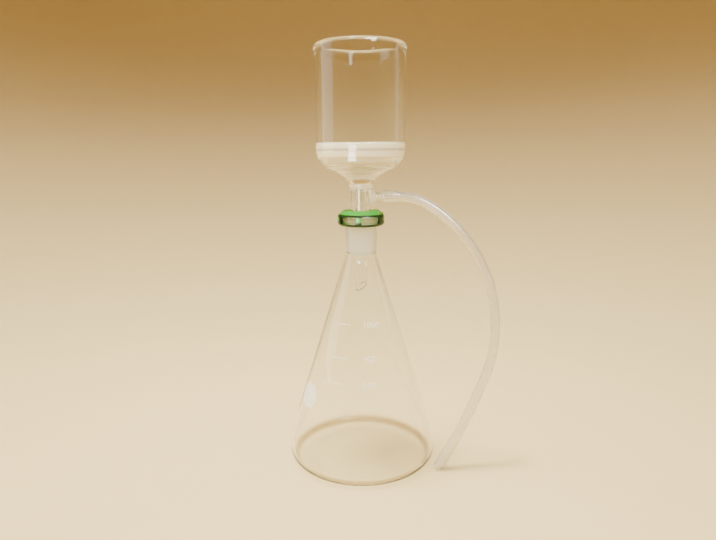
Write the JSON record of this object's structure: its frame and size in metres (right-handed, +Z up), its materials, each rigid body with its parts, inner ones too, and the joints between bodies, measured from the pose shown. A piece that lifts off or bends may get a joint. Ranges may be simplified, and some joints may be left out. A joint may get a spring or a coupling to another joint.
{
  "type": "vacuum filtration unit",
  "caption": "Sintered-glass funnel with a barbed vacuum side arm and hose, seated by a ground joint in a conical flask and held by a plastic joint clip.",
  "frame": {"origin": "middle of the flask's foot, on the bench it stands on", "axes": "+Z up along the axis of flask, joint and funnel; +X towards the side arm; -Y towards the front of the graduations"},
  "size_m": [0.1848, 0.131, 0.3604],
  "materials": {
    "flask_glass": "clear, with a ground socket in the neck and white enamel graduations",
    "funnel_glass": "clear, with a ground cone below the jacket",
    "sintered_glass": "matt white, porous",
    "clip_plastic": "glossy moulded green",
    "hose_silicone": "milky, translucent, smooth"
  },
  "bodies": {
    "flask": {"receiving_flask": "flask_glass"},
    "funnel": {"filter_funnel": "funnel_glass", "fritted_disc": "sintered_glass", "vacuum_hose": "hose_silicone"},
    "clip": {"joint_clip": "clip_plastic"}
  },
  "joints": [
    {"name": "funnel_swivel", "type": "hinge", "parent": "flask", "child": "funnel", "pos_m": [0, 0, 0.2192], "axis": [0, 0, 1], "continuous": true},
    {"name": "clip_swivel", "type": "hinge", "parent": "flask", "child": "clip", "pos_m": [0, 0, 0.219], "axis": [0, 0, 1], "continuous": true}
  ]
}
